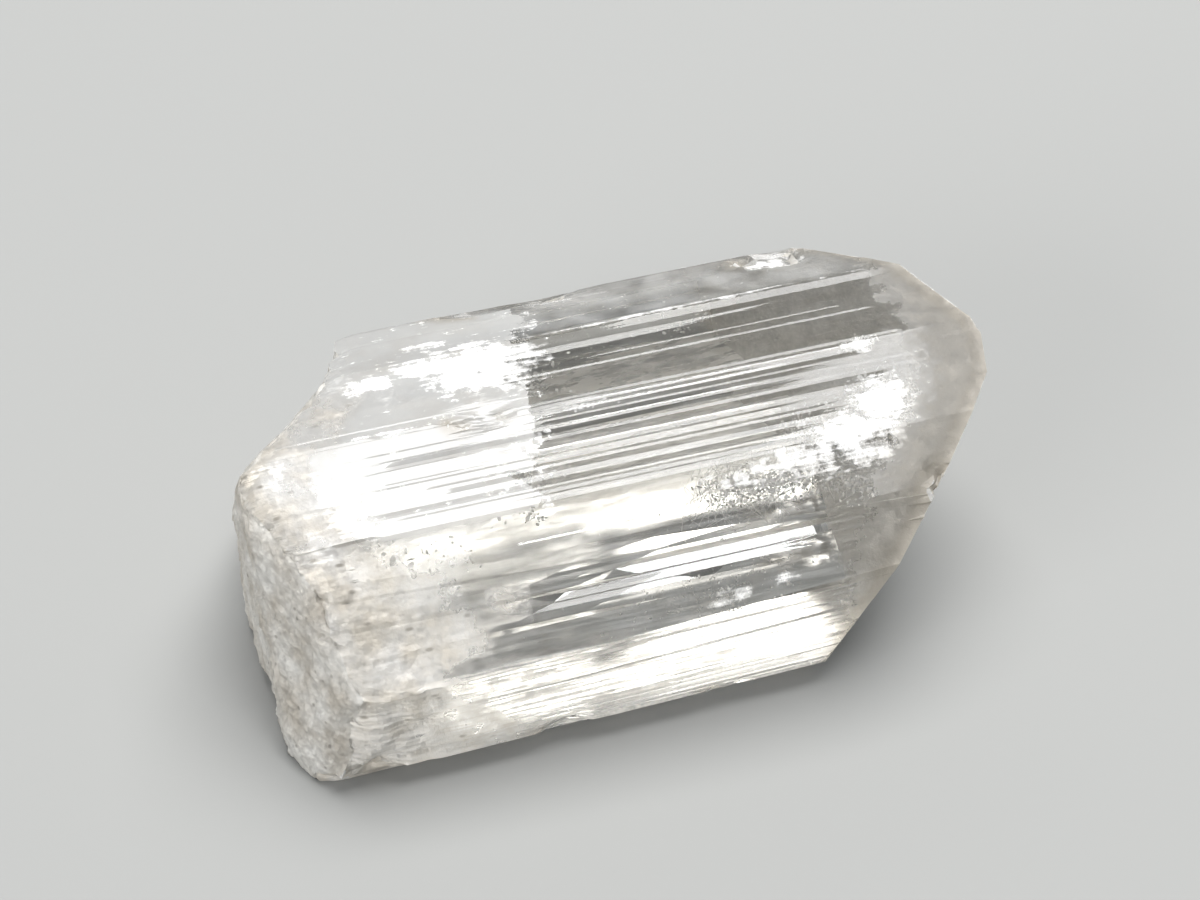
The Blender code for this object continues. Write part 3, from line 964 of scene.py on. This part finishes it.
for name, (where, *ranges) in HAZES.items():
    share = 1.0
    for values in ranges:
        part = add(tree, "MapRange", values)
        share = add(tree, "Math", (share, part), operation="MULTIPLY")
    hazes[name] = add(tree, "Math", (share, where), operation="MULTIPLY")
    haze = add(tree, "Math", (haze, hazes[name]), operation="MAXIMUM")
clearness = add(tree, "Math", (1.0, haze), operation="SUBTRACT")

front_soft = add(tree, "Math", (front_face, 0.35), operation="MULTIPLY")
softness = white
for part in (root, front_soft):
    softness = add(tree, "Math", (softness, part), operation="MAXIMUM")
roughness = add(tree, "MapRange", (softness, 0.0, 1.0, 0.02, 0.45))
tip_rough = add(tree, "MapRange", (ragged, 0.35, 0.65, 0.5, 0.75))
tip_rough = add(tree, "Math", (tip_rough, tip), operation="MULTIPLY")
roughness = add(tree, "Math", (roughness, tip_rough), operation="MAXIMUM")
print("hazes:", list(hazes))

# %% [markdown]
# Haze that stays white looks painted on, so the frosted places get a little warm grey, and a
# fine grain in the surface where they are rough.

# %% Put the clear face together
stain = add(tree, "MapRange", (blotch, 0.35, 0.65, 0.35, 1.0))
stain = add(tree, "Math", (stain, root), operation="MULTIPLY")
tip_stain = add(tree, "Math", (tip, 0.7, scuffed), operation="MULTIPLY_ADD")
tint = add(tree, "MapRange", (cloudy, 0.45, 0.65, 0.0, 0.3))
front_stain = add(tree, "MapRange", (hazes["front"], 0.2, 0.6, 0.0, 0.6))
for part in (tip_stain, tint, front_stain):
    stain = add(tree, "Math", (stain, part), operation="MAXIMUM")
colour = add(tree, "Mix", {"Factor": stain, "A": linear("#fbfaf8"), "B": linear("#d9d1c4")},
             data_type="RGBA")
colour = add(tree, "Mix", {"Factor": pits, "A": colour.outputs["Result"], "B": linear("#8f877b")},
             data_type="RGBA")
uneven = add(tree, "Math", (root, tip), operation="MAXIMUM")
bump = add(tree, "Bump", {"Height": grain, "Distance": 0.12 * MM,
                          "Strength": add(tree, "MapRange", (uneven, 0.0, 1.0, 0.0, 0.4))})
clear_shader = add(tree, "BsdfPrincipled", {
    "Base Color": colour.outputs["Result"], "IOR": DANBURITE_IOR,
    "Roughness": roughness, "Transmission Weight": clearness, "Normal": bump})
print("clear face nodes:", len(tree.nodes))

# %% [markdown]
# The break is the same stone, but its tiny waves and steps scatter nearly all the light that
# crosses them. It is pale and warm, with dull patches and darker dirt in the pits.

# %% Broken end
broken, tree = new_material("broken danburite")
place = add(tree, "VectorMath", {0: add(tree, "TexCoord").outputs["Object"], "Scale": 1.0 / MM},
            operation="SCALE")
grain = add(tree, "TexNoise", {"Vector": place, "Scale": 4.0, "Detail": 6.0, "Roughness": 0.7})
pits = add(tree, "TexVoronoi", {"Vector": place, "Scale": 1.6})
blotch = add(tree, "TexNoise", {"Vector": place, "Scale": 0.7, "Detail": 4.0})
pale = add(tree, "Mix", {"Factor": add(tree, "MapRange", (blotch, 0.35, 0.65, 0.0, 1.0)),
                         "A": linear("#f3f0e9"), "B": linear("#cbc3b6")}, data_type="RGBA")
colour = add(tree, "Mix", {"Factor": add(tree, "MapRange", (pits, 0.08, 0.16, 0.6, 0.0)),
                           "A": pale.outputs["Result"], "B": linear("#7d756a")}, data_type="RGBA")
bump = add(tree, "Bump", {"Height": grain, "Strength": 0.5, "Distance": 0.15 * MM})
broken_shader = add(tree, "BsdfPrincipled", {
    "Base Color": colour.outputs["Result"], "IOR": DANBURITE_IOR, "Roughness": 0.45,
    "Transmission Weight": add(tree, "MapRange", (grain, 0.35, 0.65, 0.2, 0.6)), "Normal": bump})
print("broken end nodes:", len(tree.nodes))

# %% [markdown]
# The domes let most of the light through but blur it, unevenly, as frosted glass does.

# %% Etched domes
etched, tree = new_material("etched danburite dome")
place = add(tree, "VectorMath", {0: add(tree, "TexCoord").outputs["Object"], "Scale": 1.0 / MM},
            operation="SCALE")
grain = add(tree, "TexNoise", {"Vector": place, "Scale": 6.0, "Detail": 4.0, "Roughness": 0.6})
blotch = add(tree, "TexNoise", {"Vector": place, "Scale": 1.4, "Detail": 6.0, "Roughness": 0.7})
bump = add(tree, "Bump", {"Height": grain, "Strength": 0.4, "Distance": 0.08 * MM})
etched_shader = add(tree, "BsdfPrincipled", {
    "Base Color": linear("#f6f3ee"), "IOR": DANBURITE_IOR,
    "Roughness": add(tree, "MapRange", (grain, 0.3, 0.7, 0.35, 0.6)),
    "Transmission Weight": add(tree, "MapRange", (blotch, 0.3, 0.7, 0.3, 0.6)), "Normal": bump})
print("dome nodes:", len(tree.nodes))

# %% [markdown]
# The face it rests on has been rubbed on tables and in drawers. Where it is still polished it
# mirrors from the inside, and where it is scuffed it glows softly and lights the faces above
# it. It is most worn at the back and toward the root.

# %% Resting face
resting, tree = new_material("scuffed resting face of danburite")
place = add(tree, "VectorMath", {0: add(tree, "TexCoord").outputs["Object"], "Scale": 1.0 / MM},
            operation="SCALE")
dragged = add(tree, "VectorMath", (place, (0.35, 1.6, 1.0)), operation="MULTIPLY")
scuffs = add(tree, "TexNoise", {"Vector": dragged, "Scale": 1.2, "Detail": 6.0, "Roughness": 0.65})
along, across, _ = add(tree, "SeparateXYZ", (place,)).outputs
back_wear = add(tree, "MapRange", (across, 0.4, 3.2, 0.08, 1.0))
front_wear = add(tree, "MapRange", (across, -2.2, -4.0, 0.0, 0.35))
root_wear = add(tree, "MapRange", (along, 4.0, -5.0, 0.0, 0.65))
under_ledges = add(tree, "MapRange", (across, -0.9, 0.2, 0.2, 1.0))
root_wear = add(tree, "Math", (root_wear, under_ledges), operation="MULTIPLY")
wear = back_wear
for part in (front_wear, root_wear):
    wear = add(tree, "Math", (wear, part), operation="MAXIMUM")
wear_noise = add(tree, "MapRange", (scuffs, 0.35, 0.65, 0.35, 1.0))
wear = add(tree, "Math", (wear, wear_noise), operation="MULTIPLY")
resting_shader = add(tree, "BsdfPrincipled", {
    "Base Color": linear("#f6f4f0"), "IOR": DANBURITE_IOR,
    "Roughness": add(tree, "MapRange", (wear, 0.0, 1.0, 0.03, 0.4)),
    "Transmission Weight": add(tree, "MapRange", (wear, 0.0, 1.0, 1.0, 0.15))})
print("resting face nodes:", len(tree.nodes))

# %% [markdown]
# All four are skins of the same stone, so each is filled with the same absorption. It is only
# just warm over the whole length of the crystal, because danburite has hardly any colour.

# %% Fill the crystal
ABSORB_COLOUR, ABSORB_DENSITY = "#f1f0ed", 150.0
for material, shader in ((clear, clear_shader), (broken, broken_shader),
                         (etched, etched_shader), (resting, resting_shader)):
    tree = material.node_tree
    inside = add(tree, "VolumeAbsorption", {"Color": linear(ABSORB_COLOUR),
                                            "Density": ABSORB_DENSITY})
    add(tree, "OutputMaterial", {"Surface": shader, "Volume": inside})
    crystal_mesh.materials.append(material)
print("materials:", [material.name for material in crystal_mesh.materials])

# %% [markdown]
# The flakes and needles inside stand for cracks full of air, which look plain white.

# %% Crazed white flakes
crazed, tree = new_material("crazed white danburite")
place = add(tree, "VectorMath", {0: add(tree, "TexCoord").outputs["Object"], "Scale": 1.0 / MM},
            operation="SCALE")
grain = add(tree, "TexNoise", {"Vector": place, "Scale": 5.0, "Detail": 3.0})
colour = add(tree, "Mix", {"Factor": grain, "A": linear("#ffffff"), "B": linear("#f1ede6")},
             data_type="RGBA")
shader = add(tree, "BsdfPrincipled", {"Base Color": colour.outputs["Result"], "Roughness": 0.35})
add(tree, "OutputMaterial", {"Surface": shader})
for item in (root_flakes, crack_flakes, cloud_flakes, fibres, specks):
    item.data.materials.append(crazed)
print("flake nodes:", len(tree.nodes))
